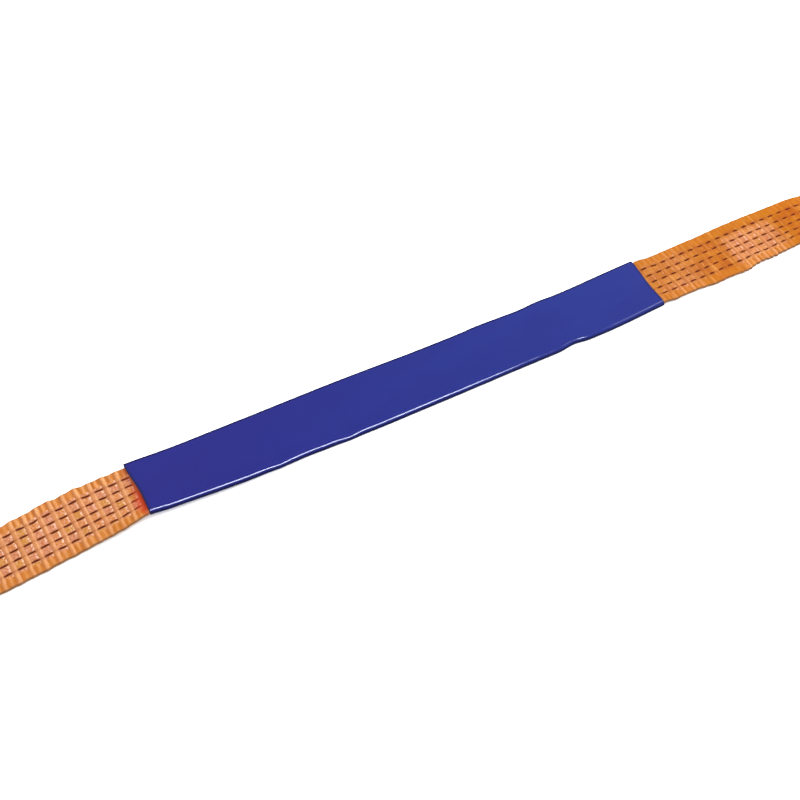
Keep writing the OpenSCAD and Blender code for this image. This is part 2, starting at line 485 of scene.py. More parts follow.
def web_material():
    """Orange polyester web: black tracer dashes in five rows, cross ribs, small boxes and fine yarns."""
    n = woven_places()
    patchy = n.ramp(n.noise(n.stretch(n.uv, (1, 0.6, 1)), 85, 2), 0.35, 0.6, 0.35, 1.0)
    ground_dye(n)
    add_boxes(n)
    add_ribs(n, patchy)
    add_flutes(n, patchy)
    # painted shade in the grooves along the tracer rows
    painted_groove_shade = n.times(n.ramp(n.across_far, 1.2 * MM, 0.4 * MM), n.in_rows)
    n.dye(n.times(painted_groove_shade, 0.34), 126, 58, 20)
    n.dye(n.ramp(n.grain, 0.25, 0.75, 0.0, 0.24), 120, 56, 14)
    dash, halo = tracer_dashes(n)
    n.dye(n.times(halo, 0.3), 118, 42, 4)
    n.dye(dash, 62, 10, 0)
    # painted shade on the rounded edges of the web
    edge_shade = n.ramp(n.v_far, HALF_WEB - 1.3 * MM, HALF_WEB - 0.5 * MM)
    n.dye(n.times(edge_shade, 0.7), 84, 66, 46)
    # deep red: painted shade where the web runs in under the left lip of the sleeve, and a little redder dye
    # on the right leg
    n.dye(n.attribute("flush"), 168, 44, 14)
    n.dye(n.attribute("seared"), 72, 32, 14)
    n.surface(n.ramp(n.speck, 0.3, 0.7, 0.62, 0.8), Specular_IOR_Level=0.02)

    warp, weft = n.wave(n.v, 1.05 * MM), n.wave(n.u, 1.24 * MM)
    yarn = n.times(n.scaled(warp, 0.5, 0.5), n.scaled(weft, 0.3, 0.7))
    height = n.plus(yarn, n.times(n.grain, 0.8))
    n.bump(n.plus(height, n.times(dash, 0.5)), 0.6, 0.25 * MM)
    return n.material


# ---- the look of the sleeve, the wear sleeves, the thread, the label and the floor ----

def pvc_material():
    """Glossy deep blue soft PVC, a little uneven and scuffed, with painted shade on its near wall, along its
    far fold and on the cut edges of its mouths.
    """
    n = Nodes("blue_pvc")
    place = n.object_place()
    x, _, _ = n.axes(place)
    fold = n.attribute("fold")
    cloud = n.noise(n.stretch(place, (0.35, 1, 1)), 38, 3, 0.55)
    n.base = n.mix(n.ramp(x, -0.2, 0.12), colour(22, 24, 105), colour(19, 33, 109))
    n.dye(n.ramp(cloud, 0.35, 0.7, 0.0, 0.3), 18, 22, 98)
    # painted shade on the near wall below the highlight and along the far fold; the gloss is turned down
    # there too
    n.dye(n.times(fold, 0.92), 8, 10, 32)
    # painted shade, dark navy, on the cut edges of the mouths
    n.dye(n.times(n.attribute("cut"), 0.85), 12, 10, 44)
    scuff = n.noise(n.stretch(place, (0.2, 1, 1)), 260, 4, 0.65)
    shine = n.ramp(fold, 0.3, 1.0, 0.1, 0.0)
    n.surface(n.ramp(scuff, 0.4, 0.75, 0.12, 0.22), Specular_IOR_Level=shine)
    peel = n.noise(place, 620, 2, 0.5)
    wave = n.noise(n.stretch(place, (0.5, 1, 1)), 70, 2, 0.5)
    n.bump(n.plus(n.times(peel, 0.1), wave), 0.25, 0.4 * MM)
    return n.material


def cloth_material():
    """Dense black-grey nylon plain weave of the wear sleeves."""
    n = Nodes("wear_cloth")
    uv = n.strap_uv()
    u, v, _ = n.axes(uv)
    basket = n.basket(u, v, 1.3 * MM)
    fuzz = n.noise(uv, 900, 3, 0.7)
    cloud = n.noise(uv, 60, 2, 0.6)
    n.base = n.mix(n.ramp(basket, 0.1, 0.9), colour(26, 28, 31), colour(50, 52, 57))
    n.dye(n.ramp(cloud, 0.35, 0.7, 0.0, 0.4), 60, 62, 65)
    worn = n.times(n.attribute("rubbed"), n.ramp(fuzz, 0.35, 0.65, 0.1, 0.5))
    n.dye(worn, 88, 88, 88)
    n.surface(n.ramp(fuzz, 0.3, 0.7, 0.7, 0.9), Sheen_Weight=0.2, Sheen_Roughness=0.4)
    n.bump(n.plus(basket, n.times(fuzz, 0.5)), 0.7, 0.25 * MM)
    return n.material


def thread_material(name, main, deep):
    """Twisted polyester sewing thread; the twist follows the stitch."""
    n = Nodes(name)
    u, v, _ = n.axes(n.strap_uv())
    turns = n.plus(n.over(u, 0.9 * MM), v)
    twist = n.scaled(n.wave(turns, 1), 0.5, 0.5)
    fuzz = n.noise(n.place(), 2500, 2, 0.6)
    n.base = n.mix(n.ramp(twist, 0.0, 0.5), deep, main)
    n.base = n.mix(n.ramp(fuzz, 0.3, 0.7, 0.0, 0.25), n.base, deep)
    n.surface(n.ramp(fuzz, 0.3, 0.7, 0.5, 0.68), Sheen_Weight=0.15)
    n.bump(twist, 0.6, 0.12 * MM)
    return n.material


def label_material():
    """Satin woven blue label with a thin lighter border, blank."""
    n = Nodes("blank_label")
    uv = n.strap_uv()
    u, v, _ = n.axes(uv)
    inset_u = n.minus((LABEL_HI.x - LABEL_LO.x) / 2, n.size(u))
    inset_v = n.minus((LABEL_HI.y - LABEL_LO.y) / 2, n.size(v))
    border = n.band(n.math("MINIMUM", inset_u, inset_v), 4.9 * MM, 5.1 * MM, 5.7 * MM, 5.9 * MM)
    weave = n.basket(u, v, 0.5 * MM)
    soil = n.noise(uv, 90, 3, 0.6)
    n.base = n.mix(n.ramp(weave, 0.0, 1.0, 0.0, 0.35), colour(26, 70, 136), colour(18, 50, 107))
    n.dye(border, 140, 160, 184)
    n.dye(n.ramp(soil, 0.5, 0.8, 0.0, 0.3), 46, 76, 122)
    n.surface(n.ramp(soil, 0.3, 0.7, 0.38, 0.52))
    n.bump(weave, 0.4, 0.1 * MM)
    return n.material


def floor_material():
    n = Nodes("pale_floor")
    n.base = n.mix(n.noise(n.place(), 3, 3, 0.5), (0.93, 0.93, 0.93, 1), (0.95, 0.95, 0.95, 1))
    n.surface(0.9, Specular_IOR_Level=0.1)
    return n.material


# ---- the woven web ----

EDGE_PLACES = np.array([0.0, 0.12, 0.45, 0.95, 1.55]) * MM
INNER_EDGE = 2.3 * MM
INNER_PLACES = 63
RELIEF_BED = 0.3 * MM
RIB_HEIGHT, BOX_HEIGHT, GROOVE_DEPTH, FLUTE_HEIGHT, YARN_HEIGHT = np.array([0.42, 0.16, 0.24, 0.1, 0.03]) * MM
LOTS = 1024


def across_places():
    """Places across the web from one selvedge to the other, close together at the round edges."""
    inner = np.linspace(-HALF_WEB + INNER_EDGE, HALF_WEB - INNER_EDGE, INNER_PLACES)
    return np.concatenate([-HALF_WEB + EDGE_PLACES, inner, HALF_WEB - EDGE_PLACES[::-1]])


def relief(u, v, seed):
    """Height of the weave: ribs between the dash columns, grooves on the tracer rows and crowned boxes."""
    cell = u / DASH_PITCH + 0.5
    number = np.floor(cell).astype(int)
    along = np.abs(cell - number - 0.5)
    rng = np.random.default_rng(seed)
    rib_force = rng.uniform(0.7, 1.15, LOTS)
    box_force = rng.uniform(0.5, 1.2, (LOTS, 8))
    ribs = hump(along, 0.5, 0.13) * rib_force[np.floor(cell + 0.5).astype(int) % LOTS]
    grooves = sum(hump(v, place, 0.55 * MM) for place in ROWS)
    boxes = 0.0
    for row, place in enumerate(ROWS[:-1]):
        boxes = boxes + hump(v, place + ROW_PITCH / 2, 2.1 * MM) * box_force[number % LOTS, row]
    boxes = boxes * (1 - hump(along, 0.5, 0.2))
    flutes = np.cos(2 * math.tau * cell) * ease(np.abs(v), 15.5 * MM, 18 * MM)
    yarn = np.cos(math.tau * v / (2.45 * MM))
    raised = RIB_HEIGHT * ribs + BOX_HEIGHT * boxes + FLUTE_HEIGHT * flutes + YARN_HEIGHT * yarn
    return raised - GROOVE_DEPTH * grooves * (1 - 0.6 * ribs)


def strap(name, material, steps, lines, dashes, seed, shape, pale, quilt, flush=None, melted_end=0.0):
    """One length of web along a line of (centre, side, normal) rows.

    shape gives (sideways move, upward move, half width), the sheen function a painted sheen and the red
    function a deep red that is painted shade at the left mouth and dye on the right leg, both from 0 to 1,
    all at places in millimetres; where the painted sheen is strong the relief stands higher. dashes is
    (length at a dash's centre, 1 or -1 for the way that u grows), quilt gives the hollows of sewn rows,
    melted_end how thin the end is melted.
    """
    centre, side, normal = lines
    phase, way = dashes
    top = across_places()
    bottom = top[-2:0:-1]
    v = np.concatenate([top, bottom])
    face = np.concatenate([np.ones(len(top)), -np.ones(len(bottom))])
    s_grid, v_grid = np.meshgrid(steps, v, indexing="ij")
    face_grid = np.broadcast_to(face, s_grid.shape)
    u_grid = (s_grid - phase) * way
    to_end = steps[-1] - s_grid
    rim = np.clip((HALF_WEB - np.abs(v_grid)) / EDGE_PLACES[-1], 0, 1)
    thin = np.clip(to_end / (1.2 * MM), 0, 1)
    round_off = np.sqrt(1 - (1 - rim) ** 2) * (1 - melted_end * (1 - np.sqrt(1 - (1 - thin) ** 2)))
    places = s_grid / MM, v_grid / MM
    # tone is the painted sheen; the relief also stands higher where it is strong
    tone = pale(*places)
    sideways, upward, half_here = shape(*places)
    force = 0.3 + 0.7 * tone
    weave = relief(u_grid + np.where(face_grid > 0, 0, DASH_PITCH / 2), v_grid, seed) * force
    weave = weave + quilt(s_grid, v_grid, face_grid)
    thick = face_grid * (WEB_THICK / 2 - RELIEF_BED + weave) * round_off
    rib = np.cos(math.tau * (u_grid / DASH_PITCH + 0.5)) * 0.28 * force
    drift = np.where(v_grid > 0, wander(u_grid, seed + 1, 14 * MM), wander(u_grid, seed + 2, 14 * MM))
    scale = (half_here + rib + (0.14 + 0.2 * tone) * drift) * MM / HALF_WEB
    points = (
        centre[:, None]
        + side[:, None] * (v_grid * scale + sideways * MM)[..., None]
        + normal[:, None] * (thick + upward * MM)[..., None]
    )
    around = len(v)
    faces = ring_faces(len(steps), around) + cap_faces(len(steps), around)
    uv = np.stack([u_grid, v_grid], -1).reshape(-1, 2)
    floats = {"pale": tone, "seared": melted_end * fall(to_end, 0, 1.6 * MM)}
    # the deep red: painted shade at the left mouth, dye on the right leg
    if flush is not None:
        floats["flush"] = flush(*places)
    return make_mesh(name, points.reshape(-1, 3), faces, material, uv, floats)


def steps_between(low, high):
    count = int(round((high - low) / DASH_PITCH * STEPS_PER_PITCH))
    return np.linspace(low, high, count + 1)


def plan_line(segments, steps, start, heading):
    """Centre, side and normal of a line that lies in the level plane of the web."""
    places, headings = trace(segments, steps - steps[0], start, heading)
    zero = np.zeros(len(steps))
    centre = np.column_stack([places, zero + WEB_LEVEL])
    side = np.column_stack([-np.sin(headings), np.cos(headings), zero])
    normal = np.column_stack([zero, zero, zero + 1])
    return centre, side, normal


def blend_at(piece):
    """Bakes a piece's placement into its mesh."""
    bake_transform(piece)


# ---- how the web lies, in millimetres: s along it from the sleeve's middle, v across it ----
# A hill is (height, middle, width) and a span is (start, full, fade, end); both lie along s.

HALF = HALF_WEB / MM
WIDE_HALF = 25.8
HIDDEN_HALF = 24.0
EYE_HALF = 25.0
OPEN_SPAN = (220, 236, 400, 424)

LEFT_MOUTH = (120, 214, 226, 292)
LEFT_ROLL = (232, 275, 385, 418)
LEFT_SWELL = (228, 240, 385, 405)
LEFT_NEAR_WIDE = (290, 308, 372, 402)
LEFT_FAR_NARROW = (310, 321, 345, 390)
LEFT_FAR_HILLS = ((1.5, 268, 9), (1.0, 248, 8), (1.1, 290, 8), (-0.6, 306, 7))
LEFT_DRIFT = (228, 246, 250, 345)

RIGHT_ROLL = (228, 262, 392, 420)
RIGHT_DRIFT = (205, 232, 392, 424)
RIGHT_NARROW = (236, 248, 385, 410)
RIGHT_NEAR_IN = (360, 380, 392, 415)
RIGHT_NEAR_HILLS = ((1.9, 281, 13), (2.0, 305, 14), (0.9, 331, 14), (-1.0, 329, 9), (-1.9, 230, 9))
RIGHT_FAR_HILLS = ((2.2, 233, 8), (0.9, 336, 36))
RIPPLES_AT, RIPPLES_WIDTH = 338, 28
RIPPLE_CREST, RIPPLE_LENGTH = 334, 22
# the patch of painted sheen on the right leg
SHEEN_PATCH = (306, 320, 350, 374)


def body_half_width(s):
    """The web lies flat and wide in the open, and a little narrower in the sleeve and in the splices."""
    opened = span(s, *OPEN_SPAN)
    hidden = fall(s, 216, 230)
    return EYE_HALF + (WIDE_HALF - EYE_HALF) * opened + (HIDDEN_HALF - EYE_HALF) * hidden


def left_shape(s, v):
    """At the left mouth the near edge of the web curls up; further out the far edge stands a little proud."""
    share = v / HALF
    mouth = span(s, *LEFT_MOUTH)
    curl = mouth * (0.4 + 3.0 * np.clip((share + 1) / 2, 0, 1.1) ** 2)
    out = span(s, *LEFT_ROLL)
    roll = out * (0.45 - 0.95 * share)
    sag = 0.35 * out * wander(s, 5, 33) * ease(np.abs(v), 8, 25)
    inside = (0.1 * ease(v, 5, 25) - 0.45) * fall(s, 200, 226) * (1 - mouth)
    near_swell = span(s, *LEFT_NEAR_WIDE) - 0.7
    far_swell = humps(s, LEFT_FAR_HILLS) - 1.7 * span(s, *LEFT_FAR_NARROW)
    swell = np.where(v > 0, near_swell, far_swell) * span(s, *LEFT_SWELL) * share
    tuck = 1.7 * hump(s, 204, 16) + 2.3 * hump(s, 223, 15) * np.clip(share, 0, 1)
    sideways = 1.1 * span(s, *LEFT_DRIFT) - tuck + swell
    return sideways, curl + roll + sag + inside, body_half_width(s)


def right_shape(s, v):
    """The right leg lies flat and runs a little to the far side, with a rippled patch on its near edge."""
    near = -v
    rippled = hump(s, RIPPLES_AT, RIPPLES_WIDTH)
    out = span(s, *RIGHT_ROLL)
    roll = out * (0.1 - 0.35 * near / HALF)
    low = -0.45 * fall(s, *RIGHT_ROLL[2:])
    ripple = 0.35 * rippled * ease(near, -10, 25) * np.cos(math.tau * (s - RIPPLE_CREST) / RIPPLE_LENGTH)
    sideways = (2.1 * ease(s, 235, 395) - 1.0) * span(s, *RIGHT_DRIFT)
    flutes = 0.3 + 0.7 * np.cos(2 * math.tau * (s * MM - RIGHT_PHASE) / DASH_PITCH)
    swell = humps(s, RIGHT_NEAR_HILLS) + 0.75 * flutes * rippled - span(s, *RIGHT_NEAR_IN)
    swell = swell - 1.7 * span(s, *RIGHT_NARROW) * (1 - 0.8 * hump(s, 314, 8))
    far_swell = humps(s, RIGHT_FAR_HILLS) + 0.7 * out
    swell = swell * ease(near, 8, 25) - far_swell * ease(v, 5, 25)
    return sideways - swell, roll + ripple + low, body_half_width(s)


def left_painted_sheen(s, v):
    """Painted sheen of the left leg: strong and mottled all over, weaker along its near edge."""
    mottle = 0.5 + 0.5 * wander(s + 0.4 * v, 11, 30)
    return np.clip(0.62 + 0.35 * mottle - 0.3 * ease(v, 14, 22), 0, 1)


def right_painted_sheen(s, v):
    """Painted sheen of the right leg: in its rippled patch and a little at the mouth of the sleeve, faint
    elsewhere.
    """
    patch = span(s, *SHEEN_PATCH) * ease(-v, -17, -7)
    mouth = 0.15 * fall(s, 262, 284) + 0.25 * hump(s, 253, 10) * ease(-v, 0, 20)
    return np.clip(0.03 + 0.54 * patch + mouth + 0.05 * wander(s, 12, 25), 0, 1)


def left_mouth_shade(s, v):
    """Painted shade, deep red, on the web where it runs in under the lip of the sleeve, most on its near
    half.
    """
    lip = SLEEVE_HALF / MM + 3.4 * ease(-v, -8, 27)
    side = 0.3 + 0.7 * span(v, -14, 10, 19, 25)
    return 0.95 * side ** 0.7 * ease(s, 216, 224) * fall(s, lip + 0.5, lip + 3.0 + 8.0 * side)


def right_flush(s, v):
    """The dye of the right leg is a little redder outside the patch of painted sheen."""
    return 0.08 * ease(s, 368, 384) + 0.06 * hump(s, 295, 12)


def body_hollows(s, v, face):
    return sewn_hollows(s - BODY_HALF, v, -face)


def make_body_web(material, side, steps, lines, seed, looks):
    """One half of the web's body, from inside the sleeve to inside the splice."""
    shape, pale, flush = looks
    piece = strap("web_%s_run" % side, material, steps, lines, DASHES[side], seed, shape, pale, body_hollows,
                  flush)
    blend_at(piece)
    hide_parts("body_web")


def make_left_web(material):
    steps = steps_between(-HIDDEN_SEAM, BODY_HALF + SPLICE_SEAM)
    straight = BODY_HALF - ARC_START - ARC_LENGTH + SPLICE_SEAM
    segments = [(ARC_START + HIDDEN_SEAM, 0.0), (ARC_LENGTH, LEG_TURN), (straight, 0.0)]
    lines = plan_line(segments, steps, (HIDDEN_SEAM, 0.0), math.pi)
    make_body_web(material, "left", steps, lines, 21, (left_shape, left_painted_sheen, left_mouth_shade))


def make_right_web(material):
    steps = steps_between(HIDDEN_SEAM, BODY_HALF + SPLICE_SEAM)
    lines = plan_line([(BODY_HALF, 0.0)], steps, (HIDDEN_SEAM, 0.0), 0.0)
    make_body_web(material, "right", steps, lines, 22, (right_shape, right_painted_sheen, right_flush))


# ---- splices and eyes: one strap from the lower ply round the eye to the cut end of the upper ply ----

STITCH_ROWS = np.array([-20, -10, 0, 10, 20]) * MM
ROW_FROM, ROW_TO = 7 * MM, 109 * MM
ROW_FADE = 3 * MM
CROSS_ROWS = np.array([7.8, 13, 103, 108.2]) * MM
SEWN_DEPTH = 0.22 * MM
MELTED = 0.55


def sewn_hollows(x, y, outer):
    """The outer faces of the splice draw in along its sewn rows; x starts at the splice's inner end."""
    hollow = sum(hump(y, row, 1.6 * MM) for row in STITCH_ROWS)
    within = span(x, ROW_FROM - ROW_FADE, ROW_FROM, ROW_TO, ROW_TO + ROW_FADE)
    return -SEWN_DEPTH * np.clip(hollow, 0, 1) * within * (outer > 0)


def eye_line():
    """(length, turn) stretches from the splice's inner end, along its lower ply, round the eye and back."""
    slope_x = CROTCH_GAP + CROTCH_RADIUS * math.sin(EYE_RISE)
    slope_z = WEB_THICK + CROTCH_RADIUS * (1 - math.cos(EYE_RISE))
    top_z = EYE_RADIUS * (1 + math.cos(EYE_RISE))
    top_x = slope_x + (top_z - slope_z) / math.tan(EYE_RISE)
    bend_x = top_x + EYE_RADIUS * math.sin(EYE_RISE)
    leg = (top_x - slope_x) / math.cos(EYE_RISE)
    turn = math.pi + EYE_RISE
    return [
        (SPLICE_LENGTH + bend_x, 0.0),
        (EYE_RADIUS * turn, turn),
        (leg, 0.0),
        (CROTCH_RADIUS * EYE_RISE, -EYE_RISE),
        (CROTCH_GAP + SPLICE_LENGTH - UPPER_PLY_START, 0.0),
    ]


EYE_LINE = eye_line()
BEND_FROM = EYE_LINE[0][0]
BEND_TO = BEND_FROM + EYE_LINE[1][0]
EYE_TOTAL = sum(length for length, _ in EYE_LINE)
LOWER_SLACK, UPPER_SLACK = (SPLICE_LENGTH + 95 * MM) / MM, (BEND_TO + 85 * MM) / MM


def turn_of(side):
    return np.array(ENDS[side].to_3x3(), float).T


def placed(side, points):
    """Points of a splice's own frame (x outward, z up) in the row frame."""
    return points @ turn_of(side) + np.array(ENDS[side].translation)


def eye_frames(side, steps):
    """Centre, side and normal rows along the line of an eye."""
    places, headings = trace(EYE_LINE, steps)
    zero = np.zeros(len(steps))
    centre = placed(side, np.column_stack([places[:, 0], zero, places[:, 1]]))
    across = np.column_stack([zero, zero + 1, zero]) @ turn_of(side)
    normal = np.column_stack([-np.sin(headings), zero, np.cos(headings)]) @ turn_of(side)
    return centre, across, normal


def eye_shape(s, v):
    """The legs of the eye are slack: they bow a little between the splice and the end bend."""
    lower = hump(s, LOWER_SLACK, 34)
    upper = hump(s, UPPER_SLACK, 30)
    ripple = 0.25 * wander(s, 31, 28) * (lower + upper)
    cup = 0.5 * (v / HALF) ** 2
    return np.zeros_like(s), ripple + cup * (0.8 * lower - upper), np.full_like(s, EYE_HALF)


def eye_hollows(s, v, face):
    low = sewn_hollows(s, v, -face)
    high = sewn_hollows(EYE_TOTAL - s + UPPER_PLY_START, v, -face)
    return np.where(s < EYE_TOTAL / 2, low, high)


def make_eye(material, side, seed):
    # painted sheen of the eye, varying at random along it
    def tone(s, v):
        return np.clip(0.35 + 0.3 * wander(s, seed, 40), 0, 1)

    steps = steps_between(SPLICE_SEAM, EYE_TOTAL)
    phase, way = DASHES[side]
    piece = strap("web_%s_eye" % side, material, steps, eye_frames(side, steps), (phase - BODY_HALF, way),
                  seed, eye_shape, tone, eye_hollows, melted_end=MELTED)
    blend_at(piece)
    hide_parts(side + "_splice_web", side + "_eye_web")


# ---- wear sleeves ----

WEAR_IN = 2.0 * MM
WEAR_OUT = 1.4 * MM
WEAR_SIDE = 1.4 * MM
WEAR_LEG = 34 * MM
WEAR_FROM = BEND_FROM - WEAR_LEG
WEAR_TO = BEND_TO + WEAR_LEG
WEAR_STEPS = 168
WEAR_PLAY = 0.25 * MM
HEM = 6.0 * MM
HEM_STEP = 1.2 * MM
PUCKER_LENGTH = 5.3 * MM


def tube_outline(side, below, above, radius):
    """A closed outline round the web's section, with the given gaps and round corners."""
    half, low, high = HALF_WEB + side, -WEB_THICK / 2 - below, WEB_THICK / 2 + above
    corners = [(half, low, radius), (half, high, radius), (-half, high, radius), (-half, low, radius)]
    return outline(corners, 6, (2, 21, 2, 21))


def worn_outline(s, outer, seed):
    """The outline at s on the eye's line, with hems and puckers inside the bend, and its rubbed share."""
    v, h = outer.T
    edge = min(s - WEAR_FROM, WEAR_TO - s)
    inside_hem = ease(edge, HEM, HEM + HEM_STEP)
    lip = ease(edge, 0, 0.9 * MM)
    bent = span(s, BEND_FROM - 4 * MM, BEND_FROM + 8 * MM, BEND_TO - 8 * MM, BEND_TO + 4 * MM)
    facing_in = ease(h, 0, WEB_THICK / 2 + WEAR_IN)
    pucker = 0.5 + 0.5 * np.sin(math.tau * s / PUCKER_LENGTH + 1.5 * wander(v, seed, 16 * MM))
    drawn_in = 0.42 * bent * facing_in * pucker + 0.3 * inside_hem * (1 - 0.4 * bent) + 0.45 * (1 - lip)
    swell = (0.12 * wander(v + 3.1 * s, seed + 1, 12 * MM) - drawn_in) * MM
    at_side = np.abs(v) > HALF_WEB
    at_face = np.abs(v) < HALF_WEB + WEAR_SIDE - 0.01 * MM
    grown = np.column_stack([v + np.sign(v) * swell * at_side, h + np.sign(h) * swell * at_face])
    return grown, 0.9 * bent * ease(-h, -0.5 * MM, WEB_THICK / 2) + 0.35 * at_side


def make_wear_sleeve(material, side, seed):
    steps = np.linspace(WEAR_FROM, WEAR_TO, WEAR_STEPS)
    centre, across, normal = eye_frames(side, steps)
    outer = tube_outline(WEAR_SIDE, WEAR_OUT, WEAR_IN, 1.4 * MM)
    inner = tube_outline(0.3 * MM, WEAR_PLAY, WEAR_PLAY, 0.6 * MM)
    around = len(outer)
    walk = np.concatenate([[0], np.cumsum(np.hypot(*np.diff(outer, axis=0).T))])
    worn = [worn_outline(s, outer, seed) for s in steps]
    sections = [grown for grown, _ in worn] + [inner] * WEAR_STEPS
    rubs = [rubbed for _, rubbed in worn] + [np.zeros(around)] * WEAR_STEPS
    order = [*range(WEAR_STEPS), *reversed(range(WEAR_STEPS))]
    rings = [centre[i] + section @ np.array([across[i], normal[i]]) for i, section in zip(order, sections)]
    uvs = [np.column_stack([np.full(around, steps[i]), walk]) for i in order]
    piece = make_mesh("wear_cloth_" + side, np.concatenate(rings), closed_faces(len(rings), around), material,
                      np.concatenate(uvs), {"rubbed": np.concatenate(rubs)})
    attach(piece, side + "_eye")
    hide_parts(side + "_wear_sleeve")
    return piece


# ---- sewing ----

STITCH_SHARE = 0.72


def stitch_mesh(name, material, stitches, thick):
    """Each stitch is (from, to, up): a plump thread that dips into the cloth at both ends."""
    points, faces, uvs = [], [], []
    around, along = 7, 7
    for start, stop, up in stitches:
        length = np.linalg.norm(stop - start)
        across = np.cross(up, unit(stop - start))
        first = len(points)
        for i in range(along):
            t = i / (along - 1)
            arch = math.sin(math.pi * t) ** 0.6
            radius = thick / 2 * (0.45 + 0.55 * arch)
            middle = start + (stop - start) * t + up * thick * (0.62 * arch - 0.45)
            for j in range(around):
                a = math.tau * j / around
                points.append(middle + (across * math.cos(a) + up * math.sin(a)) * radius)
                uvs.append((length * t, j / around))
        faces += ring_faces(along, around, first) + cap_faces(along, around, first)
    return make_mesh(name, points, faces, material, uvs)


def stitch_row(start, stop, up, length, skew, rng):
    """Stitches one after another from start to stop, each a little slanted and slipped."""
    start, stop, up = (np.array(p, float) for p in (start, stop, up))
    across = np.cross(up, unit(stop - start))
    count = max(1, int(round(np.linalg.norm(stop - start) / length)))
    step = (stop - start) / count
    made = []
    for i in range(count):
        begin = start + step * (i + 0.5 - STITCH_SHARE / 2)
        finish = start + step * (i + 0.5 + STITCH_SHARE / 2)
        slip = rng.uniform(-0.12, 0.12, 2) * MM
        made.append((begin + across * (slip[0] - skew), finish + across * (slip[1] + skew), up))
    return made


def make_splice_stitching(material, side, seed):
    """Rows along the splice and two pairs of rows across it, on its upper and its lower face."""
    rng = np.random.default_rng(seed)
    sunk = 0.2 * MM
    stitches = []
    for z, up in ((1.5 * WEB_THICK - sunk, 1.0), (-0.5 * WEB_THICK + sunk, -1.0)):
        lines = [((ROW_FROM, y, z), (ROW_TO, y, z)) for y in STITCH_ROWS]
        lines += [((x, STITCH_ROWS[0], z), (x, STITCH_ROWS[-1], z)) for x in CROSS_ROWS]
        for line in lines:
            stitches += stitch_row(*placed(side, np.array(line)), (0, 0, up), 3.4 * MM, 0.16 * MM, rng)
    piece = stitch_mesh("splice_seam_" + side, material, stitches, 0.95 * MM)
    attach(piece, side + "_splice")
    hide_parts(side + "_splice_stitching")


def make_wear_stitching(material, side, seed):
    """Two rows across the wear sleeve near the end of its upper leg, on both faces."""
    rng = np.random.default_rng(seed)
    half_row = 22 * MM
    sunk = 0.12 * MM
    stitches = []
    for s in (BEND_TO + 25 * MM, BEND_TO + 31 * MM):
        centre, across, normal = (rows[0] for rows in eye_frames(side, np.array([s])))
        for up, high in ((1, WEB_THICK / 2 + WEAR_IN), (-1, WEB_THICK / 2 + WEAR_OUT)):
            middle = centre + normal * up * (high - sunk)
            row = middle - across * half_row, middle + across * half_row
            stitches += stitch_row(*row, normal * up, 3.2 * MM, 0.12 * MM, rng)
    piece = stitch_mesh("wear_seam_" + side, material, stitches, 0.85 * MM)
    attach(piece, side + "_eye")
    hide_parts(side + "_wear_stitching")
    return piece


# ---- label ----

LABEL_SIZE = LABEL_HI - LABEL_LO
LABEL_CORNER = 3 * MM
LABEL_SEAM_INSET = 2.8 * MM
LABEL_COLUMNS, LABEL_LINES = 75, 41


def label_point(x, y, face):
    """A point of the label's upper or lower face, from its middle; round corners and a thin turned rim."""
    half_l, half_w = LABEL_SIZE.x / 2, LABEL_SIZE.y / 2
    over_x, over_y = abs(x) - (half_l - LABEL_CORNER), abs(y) - (half_w - LABEL_CORNER)
    if over_x > 0 and over_y > 0:
        fit = max(over_x, over_y) / math.hypot(over_x, over_y)
        x = math.copysign(half_l - LABEL_CORNER + over_x * fit, x)
        y = math.copysign(half_w - LABEL_CORNER + over_y * fit, y)
    rim = float(fall(min(half_l - abs(x), half_w - abs(y)), 0, 1.2 * MM))
    wave = math.sin(x / (9 * MM)) * math.cos(y / (7 * MM))
    over_rows = sum(float(hump(y, row, 1.4 * MM)) for row in STITCH_ROWS)
    lift = 0.084 * MM * (wave + over_rows) * (1 - rim)
    return x, y, face * LABEL_SIZE.z * 0.45 * (1 - 0.35 * rim) + lift


def label_faces():
    """Quads of both faces of the label and of the rim between them."""
    size = LABEL_COLUMNS * LABEL_LINES
    top = grid_faces(LABEL_COLUMNS, LABEL_LINES)
    bottom = [(a, d, c, b) for a, b, c, d in grid_faces(LABEL_COLUMNS, LABEL_LINES, size)]
    grid = np.arange(size).reshape(LABEL_COLUMNS, LABEL_LINES)
    loop = np.concatenate([grid[:, 0], grid[-1, 1:], grid[-2::-1, -1], grid[0, -2:0:-1]]).tolist()
    return top + bottom + [(a, size + a, size + b, b) for a, b in zip(loop, loop[1:] + loop[:1])]


def make_label(material):
    """A thin woven label with round corners and a turned rim, lying over the sewn rows."""
    centre = (LABEL_LO + LABEL_HI) / 2
    along = np.linspace(-1, 1, LABEL_COLUMNS) * LABEL_SIZE.x / 2
    across = np.linspace(-1, 1, LABEL_LINES) * LABEL_SIZE.y / 2
    points = np.array([label_point(x, y, face) for face in (1, -1) for x in along for y in across])
    piece = make_mesh("blank_label", points + np.array(centre), label_faces(), material, points[:, :2])
    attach(piece, "right_splice")
    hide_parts("identification_label")
    return piece


def make_label_stitching(material):
    rng = np.random.default_rng(77)
    x0, x1 = LABEL_LO.x + LABEL_SEAM_INSET, LABEL_HI.x - LABEL_SEAM_INSET
    y0, y1 = LABEL_LO.y + LABEL_SEAM_INSET, LABEL_HI.y - LABEL_SEAM_INSET
    z = LABEL_HI.z - 0.08 * MM
    corners = [(x0, y0, z), (x1, y0, z), (x1, y1, z), (x0, y1, z)]
    stitches = []
    for a, b in zip(corners, corners[1:] + corners[:1]):
        stitches += stitch_row(a, b, (0, 0, 1), 2.6 * MM, 0.05 * MM, rng)
    piece = stitch_mesh("label_seam", material, stitches, 0.62 * MM)
    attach(piece, "right_splice")
    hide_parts("label_stitching")
    return piece


